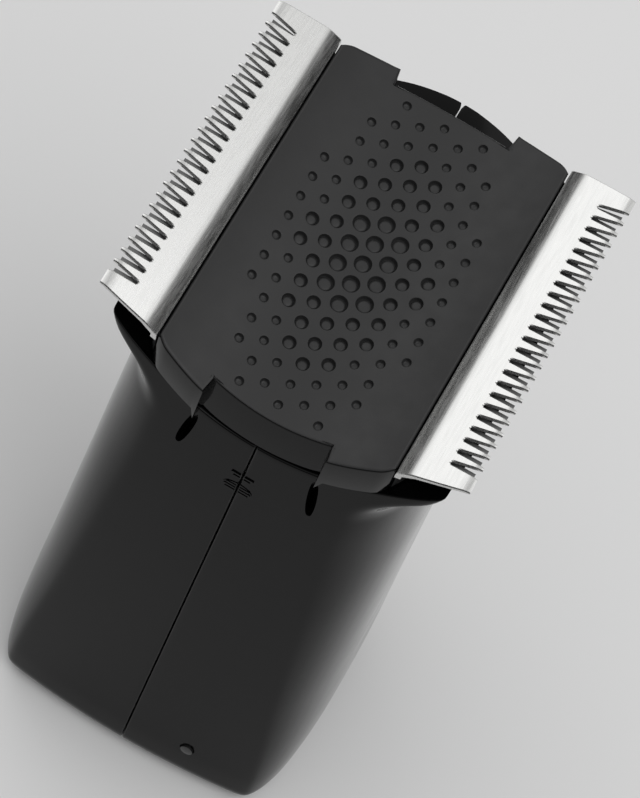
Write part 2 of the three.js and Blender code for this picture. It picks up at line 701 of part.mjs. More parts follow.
function chargePin(side) {
  const x = side * CHARGE_PIN_X;
  const pin = rod(x, CHARGE_PIN_Y, 0.3, FLOOR + 1.2, CHARGE_PIN_RADIUS, 20);
  return pin.add(rod(x, CHARGE_PIN_Y, FLOOR + GAP, FLOOR + 1.2, 2, 20));
}

function board() {
  const backY = BOARD_Y + BOARD_THICK;
  return block([-BOARD_HALF, BOARD_Y, BOARD_BOTTOM], [BOARD_HALF, backY, BOARD_TOP]);
}

const switchBaseY = BOARD_Y + BOARD_THICK + 0.1;

function tactSwitch() {
  const HALF = 2.25;
  const box = block(
    [-HALF, switchBaseY, BUTTON_Z - HALF],
    [HALF, switchBaseY + 1.0, BUTTON_Z + HALF],
  );
  return box.add(rodAlongY(0, BUTTON_Z, switchBaseY + 0.5, switchBaseY + 1.5, 1.1));
}

function powerButton() {
  const low = BUTTON_FLANGE_Y - 0.4;
  const high = BUTTON_FLANGE_Y + 0.4;
  const cap = padAlongY(BUTTON_HALF_X, BUTTON_HALF_Z, BUTTON_Z, BUTTON_FLANGE_Y, BUTTON_FACE_Y);
  const flange = padAlongY(BUTTON_HALF_X + 1, BUTTON_HALF_Z + 1, BUTTON_Z, low, high);
  return cap.add(flange);
}

function controlChip() {
  return block([-3, BOARD_Y - 1.1, 40], [3, BOARD_Y - 0.1, 46]);
}

const lightPipe = () => rodAlongY(PIPE_X, PIPE_Z, -17.6, BOARD_Y - GAP, PIPE_RADIUS, 12);

// ---- assembly ----------------------------------------------------------------------

function finish(color, roughness, metalness) {
  return () => new THREE.MeshStandardMaterial({ color, roughness, metalness });
}

const glossBlack = finish(0x08080a, 0.12, 0);
const satinGrey = finish(0x3a3a3b, 0.45, 0);
const darkPlastic = finish(0x151516, 0.5, 0);
const brushedSteel = finish(0xc9c9c6, 0.35, 1);
const dullSteel = finish(0x8f8f8d, 0.45, 1);
const brass = finish(0xb08d4f, 0.3, 1);
const rubber = finish(0x111111, 0.85, 0);
const boardGreen = finish(0x1f5a34, 0.6, 0);
const cellWrap = finish(0x2b4d7a, 0.4, 0);
const clearPlastic = finish(0xe8ece8, 0.1, 0);
const white = finish(0xd8d6cf, 0.6, 0);

// The handle's own frame has its origin below the head's; the part's is below its middle.
const handle = new THREE.Group();
handle.position.y = -MIDDLE_Y;
handle.add(head);
const groomer = new THREE.Group();
groomer.add(handle);

function place(parent, name, solid, material) {
  const mesh = new THREE.Mesh(toGeometry(solid), material());
  mesh.name = name;
  parent.add(mesh);
}

// A pair of pieces, the second the mirror image of the first in the plane X = 0.
function placePair(parent, leftName, rightName, solid, material) {
  place(parent, rightName, solid, material);
  place(parent, leftName, solid.mirror([1, 0, 0]), material);
}

place(handle, "left_shell", shell(-1), glossBlack);
place(handle, "right_shell", shell(1), glossBlack);
place(handle, "motor_deck", deck(), darkPlastic);
place(handle, "battery_cell", cell(), cellWrap);
place(handle, "battery_contact_top", cellContact(CELL_BOTTOM + CELL_LENGTH + GAP), dullSteel);
place(handle, "battery_contact_bottom", cellContact(CELL_BOTTOM - GAP - 0.4), dullSteel);
place(handle, "charge_pin_left", chargePin(-1), brass);
place(handle, "charge_pin_right", chargePin(1), brass);
place(handle, "circuit_board", board(), boardGreen);
place(handle, "control_chip", controlChip(), darkPlastic);
place(handle, "power_switch", tactSwitch(), dullSteel);
place(handle, "power_button", powerButton(), rubber);
place(handle, "light_pipe", lightPipe(), clearPlastic);

place(head, "motor_can", motorCan(), dullSteel);
place(head, "motor_endbell", motorEndbell(), white);
place(head, "motor_shaft", motorShaft(), dullSteel);
place(head, "motor_screw_left", motorScrew(-1), dullSteel);
place(head, "motor_screw_right", motorScrew(1), dullSteel);
place(head, "neck_seal", neckSeal(), rubber);
place(head, "drive_eccentric", eccentric(), white);
place(head, "head_cover", headCover(), satinGrey);
place(head, "head_frame", headFrame(), darkPlastic);
place(head, "cutter_carriage", cutterCarriage(), darkPlastic);
placePair(head, "left_blade", "right_blade", fixedBlade(), brushedSteel);
placePair(head, "left_cutter", "right_cutter", movingCutter(), dullSteel);
placePair(head, "left_cutter_spring", "right_cutter_spring", cutterSpring(), dullSteel);

export default groomer;
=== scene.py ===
"""Visual model of the body groomer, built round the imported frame.

Lengths are in millimetres until a mesh is made, and Blender gets metres. The head has
a frame of its own: X across, V along the cutting edges, N out of the skin plate.
"""

import json
import math

import bmesh
import bpy
import numpy as np
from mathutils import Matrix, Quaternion, Vector


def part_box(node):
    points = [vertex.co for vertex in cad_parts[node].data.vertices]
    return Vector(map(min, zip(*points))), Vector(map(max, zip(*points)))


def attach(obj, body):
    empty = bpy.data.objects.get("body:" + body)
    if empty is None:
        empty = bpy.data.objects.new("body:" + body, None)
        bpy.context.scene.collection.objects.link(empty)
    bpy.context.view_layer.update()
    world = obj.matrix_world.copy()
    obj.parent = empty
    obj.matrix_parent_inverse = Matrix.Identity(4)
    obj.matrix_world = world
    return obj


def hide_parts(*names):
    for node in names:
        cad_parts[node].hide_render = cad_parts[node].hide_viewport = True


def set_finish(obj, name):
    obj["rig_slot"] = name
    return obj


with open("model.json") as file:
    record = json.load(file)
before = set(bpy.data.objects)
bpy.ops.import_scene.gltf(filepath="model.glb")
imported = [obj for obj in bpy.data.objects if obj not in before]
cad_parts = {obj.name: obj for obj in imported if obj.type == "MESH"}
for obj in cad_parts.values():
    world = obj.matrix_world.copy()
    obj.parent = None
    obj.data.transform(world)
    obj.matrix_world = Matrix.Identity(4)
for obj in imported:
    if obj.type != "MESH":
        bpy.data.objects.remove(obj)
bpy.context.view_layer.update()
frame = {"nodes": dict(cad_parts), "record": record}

MM = 0.001

# ---- shapes shared with the CAD ------------------------------------------------------

GAP = 0.3
MIDDLE_Y = 2.231
HEAD_Y = 0.5
HEAD_Z = 74.0
HEAD_TILT = math.radians(10)
PLATE_RADIUS = 27.0
PLATE_THICK = 1.4
CARRIAGE_TOP = 28.7
PARTING_RADIUS = 32.3
PLATE_HALF = 12.36
COVER_HALF = 13.5
END_REACH = 20.0
END_RADIUS = 36.0
NOTCH_HALF = 6.6
NOTCH_DEPTH = 1.7
END_WALL = 1.5

WALL = 1.9
FLOOR = 2.4
BASE_ROUND = 2.6
BODY_TOP = 84.0
LEVEL_BELOW = 30.0
TILTED_ABOVE = 60.0
TILT_PIVOT_Y = -17.4
FRONT_RADIUS = 100.0
FLANK_END_Y = -3.0
BACK_START_Y = 3.0
FRONT_HALF = [
    (0, 14.6), (6, 14.4), (22, 12.9), (40, 11.5), (56, 10.5), (61, 10.5), (62.7, 10.9),
    (64.4, 11.9), (66, 13.4), (69, 16.8), (71, 17.7), (73, 18.1),
]
SIDE_HALF = [
    (0, 17.2), (6, 17.5), (22, 17.1), (45, 16.5), (61, 16.1), (66, 16.4), (69, 17.2),
    (71, 17.9), (73, 18.2),
]
FRONT_Y = [(0, -18.2), (6, -18.4), (66, -17.4), (84, -17.0)]
BACK_Y = [(0, 19.6), (6, 20.0), (50, 21.5), (60, 22.9), (65, 23.9), (73, 24.4)]


# ---- meshes ---------------------------------------------------------------------------


def make_piece(name, points, faces, body, slot, replaced=(), smooth_angle=35):
    """A piece of the object from points in the part's frame, in millimetres."""
    mesh = bpy.data.meshes.new(name)
    mesh.from_pydata([tuple(p) for p in np.asarray(points) * MM], [], faces)
    clean_mesh(mesh)
    obj = bpy.data.objects.new(name, mesh)
    bpy.context.scene.collection.objects.link(obj)
    shade(mesh, smooth_angle)
    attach(obj, body)
    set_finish(obj, slot)
    if replaced:
        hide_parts(*replaced)
    return obj


def clean_mesh(mesh):
    """Joins doubled points and turns every face outward."""
    work = bmesh.new()
    work.from_mesh(mesh)
    bmesh.ops.remove_doubles(work, verts=work.verts, dist=1e-7)
    bmesh.ops.recalc_face_normals(work, faces=work.faces)
    work.to_mesh(mesh)
    work.free()


def shade(mesh, angle):
    mesh.shade_smooth()
    mesh.set_sharp_from_angle(angle=math.radians(angle))


def grid_faces(rows, columns, loop_rows=False):
    """Quads of a grid of points numbered row by row."""
    faces = []
    last = rows if loop_rows else rows - 1
    for r in range(last):
        for c in range(columns - 1):
            a = r * columns + c
            b = ((r + 1) % rows) * columns + c
            faces.append((a, a + 1, b + 1, b))
    return faces


def from_handle(points):
    """The handle's frame to the part's."""
    return np.asarray(points) - np.array([0, MIDDLE_Y, 0])


def from_head(points):
    """The head's frame to the part's."""
    points = np.asarray(points, float)
    x, v, n = points[..., 0], points[..., 1], points[..., 2]
    cos, sin = math.cos(HEAD_TILT), math.sin(HEAD_TILT)
    y = HEAD_Y - MIDDLE_Y + v * cos - n * sin
    z = HEAD_Z + v * sin + n * cos
    return np.stack([x, y, z], axis=-1)


def cut(obj, points, faces):
    """Takes a closed solid, or several that stand apart, out of a piece."""
    mesh = bpy.data.meshes.new("cutter")
    mesh.from_pydata([tuple(p) for p in np.asarray(points) * MM], [], faces)
    clean_mesh(mesh)
    tool = bpy.data.objects.new("cutter", mesh)
    bpy.context.scene.collection.objects.link(tool)
    modifier = obj.modifiers.new("cut", "BOOLEAN")
    modifier.operation = "DIFFERENCE"
    modifier.solver = "EXACT"
    modifier.object = tool
    graph = bpy.context.evaluated_depsgraph_get()
    result = bpy.data.meshes.new_from_object(obj.evaluated_get(graph))
    obj.modifiers.remove(modifier)
    old = obj.data
    obj.data = result
    bpy.data.meshes.remove(old)
    bpy.data.objects.remove(tool)
    bpy.data.meshes.remove(mesh)


def prism(outline, low, high):
    """Points and faces of a flat outline given between two depths along its third axis."""
    count = len(outline)
    points = [(a, b, low) for a, b in outline] + [(a, b, high) for a, b in outline]
    faces = [tuple(range(count)), tuple(range(count, 2 * count))]
    for i in range(count):
        j = (i + 1) % count
        faces.append((i, j, j + count, i + count))
    return points, faces


def together(solids):
    """Several (points, faces) as one."""
    points, faces = [], []
    for more_points, more_faces in solids:
        start = len(points)
        points += [tuple(p) for p in more_points]
        faces += [tuple(start + i for i in face) for face in more_faces]
    return points, faces


# ---- handle ---------------------------------------------------------------------------


def eased(stations):
    """A smooth curve through [height, value] stations that never overshoots them."""
    heights, values = np.array(stations, float).T
    steps = np.diff(heights)
    slopes = np.diff(values) / steps
    tangents = np.concatenate([slopes[:1], np.zeros(len(slopes) - 1), slopes[-1:]])
    for i in range(1, len(slopes)):
        if slopes[i - 1] * slopes[i] > 0:
            before, after = steps[i - 1], steps[i]
            weights = 2 * after + before, after + 2 * before
            bottom = weights[0] / slopes[i - 1] + weights[1] / slopes[i]
            tangents[i] = sum(weights) / bottom

    def value(z):
        z = np.clip(z, heights[0], heights[-1])
        i = np.clip(np.searchsorted(heights, z, side="right") - 1, 0, len(steps) - 1)
        t = (z - heights[i]) / steps[i]
        rise = values[i + 1] - values[i]
        start, end = tangents[i] * steps[i], tangents[i + 1] * steps[i]
        return values[i] + t * start + t * t * (3 * rise - 2 * start - end) + t ** 3 * (
            start + end - 2 * rise
        )

    return value


front_half = eased(FRONT_HALF)
side_half = eased(SIDE_HALF)
front_y = eased(FRONT_Y)
back_y = eased(BACK_Y)

GROOVE_SHAPE = [(0.0, 1.0), (0.35, 0.45), (0.7, 0.12), (1.0, 0.0)]
SEAM_HALF = 0.05
FRONT_GROOVE = (0.2, 0.14)
BACK_GROOVE = (0.22, 0.14)
COLLAR_GROOVE_DEPTH = 0.6
FACET_COLUMNS = 26
FLANK_COLUMNS = 30
BACK_COLUMNS = 36
CREASE_PASSES = 3
FRONT_INSET = 0.7  # the front's edge moves in by this share of the wall
FACET_START = 0.07
FLANK_CORNER = 0.1
FLANK_TURN = 2.4
BACK_END_ANGLE = math.radians(86.5)
COLLAR_START = 52
COLLAR_RISE = 14


def half_outline(z, inset, grooved):
    """Right half of the handle's outline, one (x, y) for each column, z one for each too.

    Column 0 lies on the seam in front and the last column on the seam behind.
    """
    half = front_half(z) - inset * FRONT_INSET
    side = side_half(z) - inset
    front = front_y(z) + inset
    back = back_y(z) - inset
    count = len(GROOVE_SHAPE)
    xs, ys = np.zeros_like(z), np.zeros_like(z)

    width, depth = FRONT_GROOVE
    depth *= grooved
    for k, (across, down) in enumerate(GROOVE_SHAPE):
        xs[k] = SEAM_HALF + width * across
        ys[k] = front[k] + depth * down + xs[k] ** 2 / (2 * FRONT_RADIUS)

    facet = slice(count, count + FACET_COLUMNS)
    u = np.linspace(FACET_START, 1, FACET_COLUMNS)
    xs[facet] = half[facet] * u
    ys[facet] = front[facet] + xs[facet] ** 2 / (2 * FRONT_RADIUS)

    flank = slice(facet.stop, facet.stop + FLANK_COLUMNS)
    u = np.linspace(0, 1, FLANK_COLUMNS + 1)[1:]
    corner_y = front[flank] + half[flank] ** 2 / (2 * FRONT_RADIUS)
    a, b, c = (1 - u) ** 2, 2 * u * (1 - u), u ** 2
    xs[flank] = a * half[flank] + b * (side[flank] - FLANK_CORNER) + c * side[flank]
    ys[flank] = a * corner_y + b * (corner_y + FLANK_TURN) + c * FLANK_END_Y

    rear = slice(flank.stop, flank.stop + BACK_COLUMNS)
    angle = np.linspace(0, BACK_END_ANGLE, BACK_COLUMNS)
    xs[rear] = side[rear] * np.cos(angle)
    ys[rear] = BACK_START_Y + (back[rear] - BACK_START_Y) * np.sin(angle)

    collar = np.clip((z - COLLAR_START) / COLLAR_RISE, 0, 1)
    for k, (across, down) in enumerate(reversed(GROOVE_SHAPE)):
        i = rear.stop + k
        width = BACK_GROOVE[0]
        depth = BACK_GROOVE[1] + (COLLAR_GROOVE_DEPTH - BACK_GROOVE[1]) * collar[i]
        xs[i] = SEAM_HALF + width * across
        fall = math.sqrt(1 - (xs[i] / side[i]) ** 2)
        ys[i] = BACK_START_Y + (back[i] - BACK_START_Y) * fall - depth * down * grooved

    for _ in range(CREASE_PASSES):
        middle = slice(count + 2, rear.stop - 2)
        for line in (xs, ys):
            mean = (line[:-2] + 2 * line[1:-1] + line[2:]) / 4
            line[middle] = mean[middle.start - 1 : middle.stop - 1]
    return xs, ys


COLUMNS = 2 * len(GROOVE_SHAPE) + FACET_COLUMNS + FLANK_COLUMNS + BACK_COLUMNS


def lifted(z, y):
    """Height of a point of the handle's level z: the upper levels tilt like the head."""
    t = np.clip((z - LEVEL_BELOW) / (TILTED_ABOVE - LEVEL_BELOW), 0, 1)
    return z + math.tan(HEAD_TILT) * t * t * (3 - 2 * t) * (y - TILT_PIVOT_Y)


def parting_height(x, y):
    """Height of the concave surface under the head, in the handle's frame."""
    radius = PARTING_RADIUS + GAP / 2
    n = PLATE_RADIUS - np.sqrt(radius ** 2 - x ** 2)
    return HEAD_Z + (n + (y - HEAD_Y) * math.sin(HEAD_TILT)) / math.cos(HEAD_TILT)


def level(z, inset=0.0, grooved=0.0):
    """One ring of points over all the columns, at one height or one height for each."""
    z = np.broadcast_to(np.asarray(z, float), (COLUMNS,)).copy()
    x, y = half_outline(z, inset, grooved)
    return np.stack([x, y, lifted(z, y)], axis=1)


RIM_SEARCH_BOTTOM = 40.0
HALVINGS = 40


def rim_heights(inset, grooved):
    """The height of each column's level at the concave surface, by halving."""
    low, high = np.full(COLUMNS, RIM_SEARCH_BOTTOM), np.full(COLUMNS, BODY_TOP)
    for _ in range(HALVINGS):
        middle = (low + high) / 2
        ring = level(middle, inset, grooved)
        above = ring[:, 2] > parting_height(ring[:, 0], ring[:, 1])
        high = np.where(above, middle, high)
        low = np.where(above, low, middle)
    return low


def on_parting(ring):
    """The ring moved straight up or down onto the concave surface."""
    moved = ring.copy()
    moved[:, 2] = parting_height(ring[:, 0], ring[:, 1])
    return moved


OUTER_ROWS = 120
INNER_ROWS = 16
RIM_ROUND = 0.18


def shell_rings():
    """Rings from the middle of the base, up outside, over the rim and down inside."""
    rings = []
    seam = level(0.0, BASE_ROUND, 1.0)
    rings.append(np.stack([np.full(COLUMNS, SEAM_HALF), seam[:, 1], seam[:, 2]], axis=1))
    for angle in np.linspace(0, math.pi / 2, 9)[:-1]:
        inset = BASE_ROUND * (1 - math.sin(angle))
        rings.append(level(BASE_ROUND * (1 - math.cos(angle)), inset, 1.0))
    top = rim_heights(0.0, 1.0)
    for t in np.linspace(0, 1, OUTER_ROWS):
        rings.append(level(BASE_ROUND + (top - RIM_ROUND - BASE_ROUND) * t, 0.0, 1.0))
    below, edge = rings[-1], on_parting(level(top, 0.0, 1.0))
    within = on_parting(level(top, RIM_ROUND, 1.0))
    for t in (0.2, 0.4, 0.6, 0.8, 1.0):
        rings.append((1 - t) ** 2 * below + 2 * t * (1 - t) * edge + t * t * within)
    rings.append(on_parting(level(top, WALL, 0.0)))
    inner_top = rim_heights(WALL, 0.0)
    for t in np.linspace(0.98, 0, INNER_ROWS):
        rings.append(level(FLOOR + BASE_ROUND + (inner_top - FLOOR - BASE_ROUND) * t, WALL))
    inner = level(FLOOR, WALL + BASE_ROUND)
    rings.append(inner)
    rings.append(np.stack([np.full(COLUMNS, SEAM_HALF), inner[:, 1], inner[:, 2]], axis=1))
    return rings


def shell_mesh(side):
    rings = shell_rings()
    points = np.concatenate(rings) * np.array([side, 1, 1])
    points[:, 0] = np.where(abs(points[:, 0]) < SEAM_HALF, side * SEAM_HALF, points[:, 0])
    faces = grid_faces(len(rings), COLUMNS, loop_rows=True)
    for column in (0, COLUMNS - 1):
        faces.append(tuple(r * COLUMNS + column for r in range(len(rings))))
    return from_handle(points), faces


WINDOW_TOP = (6.35, 65.0)
WINDOW_FOOT = (7.1, 59.2)
WINDOW_HALF = 0.5
BUTTON_Z = 44.0
BUTTON_HALF_X = 4.3
BUTTON_HALF_Z = 6.8
SLOT_DEPTHS = (-30, -15.6)
BUTTON_DEPTHS = (12, 30)
LENS_DEPTHS = (-30, -14)
LENS_SPARE = 0.15
PIN_HOLE_RADIUS = 1.45
SHELL_SMOOTH_ANGLE = 32


def window_outline(side):
    """Lens-shaped slot below the head, as (x, z)."""
    top, foot = np.array(WINDOW_TOP), np.array(WINDOW_FOOT)
    across = np.array([foot[1] - top[1], top[0] - foot[0]])
    across /= np.linalg.norm(across)
    outline = []
    for t in np.linspace(0, 2 * math.pi, 28, endpoint=False):
        along = (1 - math.cos(t)) / 2
        width = WINDOW_HALF * math.copysign(abs(math.sin(t)) ** 0.7, math.sin(t))
        outline.append(tuple((top + (foot - top) * along + across * width) * [side, 1]))
    return outline


def pad_outline(half_x, half_z, z):
    """A slot with round ends, as (x, z)."""
    outline = []
    for centre, start in ((half_z - half_x, 0), (half_x - half_z, math.pi)):
        for angle in np.linspace(start, start + math.pi, 17):
            outline.append((half_x * math.cos(angle), z + centre + half_x * math.sin(angle)))
    return outline


def round_outline(x, z, radius, sides=20):
    angles = np.linspace(0, 2 * math.pi, sides, endpoint=False)
    return [(x + radius * math.cos(a), z + radius * math.sin(a)) for a in angles]


def lens_hole():
    """A round hole for the light pipe, through the front wall."""
    corner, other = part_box("light_pipe")
    centre = (corner + other) / 2 / MM
    radius = (other.x - corner.x) / 2 / MM + LENS_SPARE
    points, faces = prism(round_outline(centre.x, centre.z, radius), *LENS_DEPTHS)
    return [(a, c, b) for a, b, c in points], faces


def shell_holes(side):
    """What is taken out of one shell: a slot, and holes for the button, lens and pin."""
    slot, slot_faces = prism(window_outline(side), *SLOT_DEPTHS)
    slot = from_handle([(a, c, b) for a, b, c in slot])
    pad = pad_outline(BUTTON_HALF_X, BUTTON_HALF_Z, BUTTON_Z)
    button, button_faces = prism(pad, *BUTTON_DEPTHS)
    button = from_handle([(a, c, b) for a, b, c in button])
    pin = "charge_pin_right" if side > 0 else "charge_pin_left"
    corner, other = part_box(pin)
    centre = (corner + other) / 2 / MM
    pin_hole = prism(round_outline(centre.x, centre.y, PIN_HOLE_RADIUS), -1, FLOOR + 1)
    holes = [(slot, slot_faces), (button, button_faces), pin_hole]
    if side > 0:
        holes.append(lens_hole())
    return together(holes)


def build_shell(name, node, side):
    points, faces = shell_mesh(side)
    obj = make_piece(name, points, faces, "handle", "casing", [node])
    cut(obj, *shell_holes(side))
    shade(obj.data, SHELL_SMOOTH_ANGLE)
    return obj


# ---- skin plate -------------------------------------------------------------------------

COLUMN_PITCH = 2.08
ROW_PITCH = 2.36
CELL_STEPS = 8
LATTICE_COLUMNS = 4
LAST_ROW = [7, 6.5, 7, 5.5, 3]
EDGE_ROUND = 0.28
SIDE_STEPS = 12
END_STEPS = 6
CORNER_START = 11
CORNER_SPAN = 1.36
CORNER_CUT = 0.55
# The zone's half-axes in rows and columns, then the radius and depth of its dimples.
DIMPLE_ZONES = [((2.4, 1.6), (0.86, 0.5)), ((5.2, 3.05), (0.67, 0.46))]
OUTER_DIMPLE = (0.46, 0.42)
BOWL_LIMIT = 0.5  # dimples up to this radius are plain bowls
WIDE_PROFILE = [
    (1.2, 0.0), (1.09, 0.0), (1.03, 0.02), (0.99, 0.16), (0.95, 0.55), (0.9, 0.9),
    (0.84, 1.0), (0.77, 0.9), (0.68, 0.8), (0.5, 0.74), (0.25, 0.72),
]
BOWL_PROFILE = [
    (1.2, 0.0), (1.09, 0.0), (1.02, 0.03), (0.96, 0.22), (0.88, 0.55), (0.76, 0.82),
    (0.58, 0.96), (0.3, 1.0),
]


def dimples():
    """Every dimple as (column, row, radius, depth), row a half-integer in odd columns."""
    found = []
    for column in range(-LATTICE_COLUMNS, LATTICE_COLUMNS + 1):
        last = LAST_ROW[abs(column)]
        rows = np.arange(-last, last + 0.5)
        for row in rows:
            size = OUTER_DIMPLE
            for (rows_half, columns_half), zone_size in reversed(DIMPLE_ZONES):
                if (row / rows_half) ** 2 + (column / columns_half) ** 2 <= 1:
                    size = zone_size
            found.append((column, row, *size))
    return found


def end_line(x):
    """Reach of the head's end along V, with the notch in its middle."""
    notch = NOTCH_DEPTH if abs(x) < NOTCH_HALF else 0
    corner = CORNER_CUT * max(0.0, (abs(x) - CORNER_START) / CORNER_SPAN) ** 2
    return END_REACH - x * x / (2 * END_RADIUS) - notch - corner


def layer_n(radius, x):
    return PLATE_RADIUS - math.sqrt(radius * radius - x * x)


class PlateGrid:
    """Grid over the plate whose lines pass round every dimple's cell."""

    def __init__(self):
        step = COLUMN_PITCH / CELL_STEPS
        inside = (LATTICE_COLUMNS * 2 + 1) * CELL_STEPS // 2
        arcs = [i * step for i in range(inside + 1)]
        edge = PLATE_RADIUS * math.asin((PLATE_HALF - EDGE_ROUND) / PLATE_RADIUS)
        arcs += list(np.linspace(arcs[-1], edge, SIDE_STEPS + 1)[1:])
        arcs = [-a for a in reversed(arcs[1:])] + arcs
        self.xs = [PLATE_RADIUS * math.sin(a / PLATE_RADIUS) for a in arcs]
        self.middle_column = len(arcs) // 2
        self.regular = round(7.5 * CELL_STEPS)
        self.half_rows = self.regular + END_STEPS
        self.columns = len(self.xs)
        self.rows = 2 * self.half_rows + 1

    def top_v(self, column, row):
        """V of a grid point, row counted from the middle."""
        x, count = self.xs[column], abs(row)
        step = ROW_PITCH / CELL_STEPS
        shared = 7 * CELL_STEPS
        end = end_line(x) - EDGE_ROUND
        inner = abs(x) < NOTCH_HALF
        start = self.regular if inner else shared
        if count <= start:
            v = count * step
        else:
            t = (count - start) / (self.half_rows - start)
            v = start * step + (end - start * step) * t
        return math.copysign(v, row)

    def bottom(self, column, row):
        """Point of the under side: the end walls hang from the plate."""
        x, count = self.xs[column], abs(row)
        end = end_line(x) - EDGE_ROUND
        face = end_line(x) - END_WALL
        last = self.half_rows - 3
        if count <= last:
            return x, math.copysign(face * count / last, row), layer_n(
                PLATE_RADIUS + PLATE_THICK, x
            )
        t = (count - last - 1) / 2
        v = math.copysign(face + 0.02 + (end - face - 0.02) * t, row)
        return x, v, layer_n(PARTING_RADIUS - GAP / 2, x)

    def index(self, column, row):
        return (row + self.half_rows) * self.columns + column

    def boundary(self):
        """Indices round the grid's edge."""
        last, top = self.columns - 1, self.half_rows
        lower = [self.index(c, -top) for c in range(self.columns)]
        right = [self.index(last, r) for r in range(-top + 1, top + 1)]
        upper = [self.index(c, top) for c in range(last - 1, -1, -1)]
        left = [self.index(0, r) for r in range(top - 1, -top, -1)]
        return lower + right + upper + left


def cell_ring(grid, column, row):
    """Grid indices round a dimple's cell, and the cell's face corners."""
    centre = grid.middle_column + column * CELL_STEPS
    middle = round(row * CELL_STEPS)
    half = CELL_STEPS // 2
    low_c, high_c, low_r, high_r = centre - half, centre + half, middle - half, middle + half
    ring = [grid.index(c, low_r) for c in range(low_c, high_c)]
    ring += [grid.index(high_c, r) for r in range(low_r, high_r)]
    ring += [grid.index(c, high_r) for c in range(high_c, low_c, -1)]
    ring += [grid.index(low_c, r) for r in range(high_r, low_r, -1)]
    cells = {(c, r) for c in range(low_c, high_c) for r in range(low_r, high_r)}
    return ring, cells


def plate_point(arc, v, depth):
    """A point at an arc length across the plate and a depth below its face."""
    angle = arc / PLATE_RADIUS
    radius = PLATE_RADIUS + depth
    return radius * math.sin(angle), v, PLATE_RADIUS - radius * math.cos(angle)


def add_dimple(points, faces, grid, dimple):
    """Replaces one cell of the grid by rings down into a dimple. Returns the cell's faces."""
    column, row, radius, depth = dimple
    ring, cells = cell_ring(grid, column, row)
    arc, v = column * COLUMN_PITCH, row * ROW_PITCH
    around = []
    for index in ring:
        x, edge_v, _ = points[index]
        edge_arc = PLATE_RADIUS * math.asin(x / PLATE_RADIUS)
        around.append(math.atan2(edge_v - v, edge_arc - arc))
    previous = ring
    profile = WIDE_PROFILE if radius > BOWL_LIMIT else BOWL_PROFILE
    for share, drop in profile:
        start = len(points)
        for angle in around:
            reach = radius * share
            points.append(plate_point(
                arc + reach * math.cos(angle), v + reach * math.sin(angle), depth * drop
            ))
        current = list(range(start, start + len(ring)))
        for i in range(len(ring)):
            j = (i + 1) % len(ring)
            faces.append((previous[i], previous[j], current[j], current[i]))
        previous = current
    faces.append(tuple(previous))
    return cells


def outward(loop):
    """Unit normals of a closed outline that runs anticlockwise."""
    ahead = np.roll(loop, -1, axis=0) - loop
    ahead /= np.linalg.norm(ahead, axis=1)[:, None]
    along = ahead + np.roll(ahead, 1, axis=0)
    along /= np.linalg.norm(along, axis=1)[:, None]
    normal = np.stack([along[:, 1], -along[:, 0]], axis=1)
    corner = np.sum(normal * np.stack([ahead[:, 1], -ahead[:, 0]], axis=1), axis=1)
    return normal / np.clip(corner, 0.6, 1)[:, None]


NOTCH_SLANT = 0.7


def build_cover():
    """The dimpled plate with its rounded edges, its end walls and their feet."""
    grid = PlateGrid()
    points = []
    for row in range(-grid.half_rows, grid.half_rows + 1):
        for column in range(grid.columns):
            x = grid.xs[column]
            points.append((x, grid.top_v(column, row), layer_n(PLATE_RADIUS, x)))
    faces, removed = [], set()
    for dimple in dimples():
        removed |= add_dimple(points, faces, grid, dimple)
    for row in range(-grid.half_rows, grid.half_rows):
        for column in range(grid.columns - 1):
            if (column, row) not in removed:
                a, b = grid.index(column, row), grid.index(column, row + 1)
                faces.append((a, a + 1, b + 1, b))
    bottom_start = len(points)
    for row in range(-grid.half_rows, grid.half_rows + 1):
        for column in range(grid.columns):
            points.append(grid.bottom(column, row))
    for row in range(-grid.half_rows, grid.half_rows):
        for column in range(grid.columns - 1):
            a = bottom_start + grid.index(column, row)
            b = bottom_start + grid.index(column, row + 1)
            faces.append((a, b, b + 1, a + 1))
    add_skirt(points, faces, grid, bottom_start)
    points, faces = together([(points, faces)] + cover_feet())
    return make_piece(
        "dimpled_cover", from_head(points), faces, "head", "skin_plate", ["head_cover"]
    )


def add_skirt(points, faces, grid, bottom_start):
    """Rounded top edge and the side faces, down to the under side."""
    edge = grid.boundary()
    loop = np.array([points[i][:2] for i in edge])
    normal = outward(loop)
    previous = edge
    for angle in (22.5, 45, 67.5, 90):
        turn = math.radians(angle)
        start = len(points)
        for i, index in enumerate(edge):
            x, v = loop[i] + normal[i] * EDGE_ROUND * math.sin(turn)
            depth = EDGE_ROUND * (1 - math.cos(turn))
            points.append((x, v, points[index][2] - depth))
        previous = join_loops(faces, previous, list(range(start, start + len(edge))))
    start = len(points)
    for i, index in enumerate(edge):
        x, v = loop[i] + normal[i] * EDGE_ROUND
        _, _, n = points[bottom_start + index]
        at_end = abs(normal[i][1]) > 0.7
        if at_end and abs(x) < NOTCH_HALF:
            v += math.copysign(NOTCH_SLANT, v)
        points.append((x, v, n))
    previous = join_loops(faces, previous, list(range(start, start + len(edge))))
    join_loops(faces, previous, [bottom_start + i for i in edge])


def join_loops(faces, lower, upper):
    for i in range(len(lower)):
        j = (i + 1) % len(lower)
        faces.append((lower[i], lower[j], upper[j], upper[i]))
    return upper


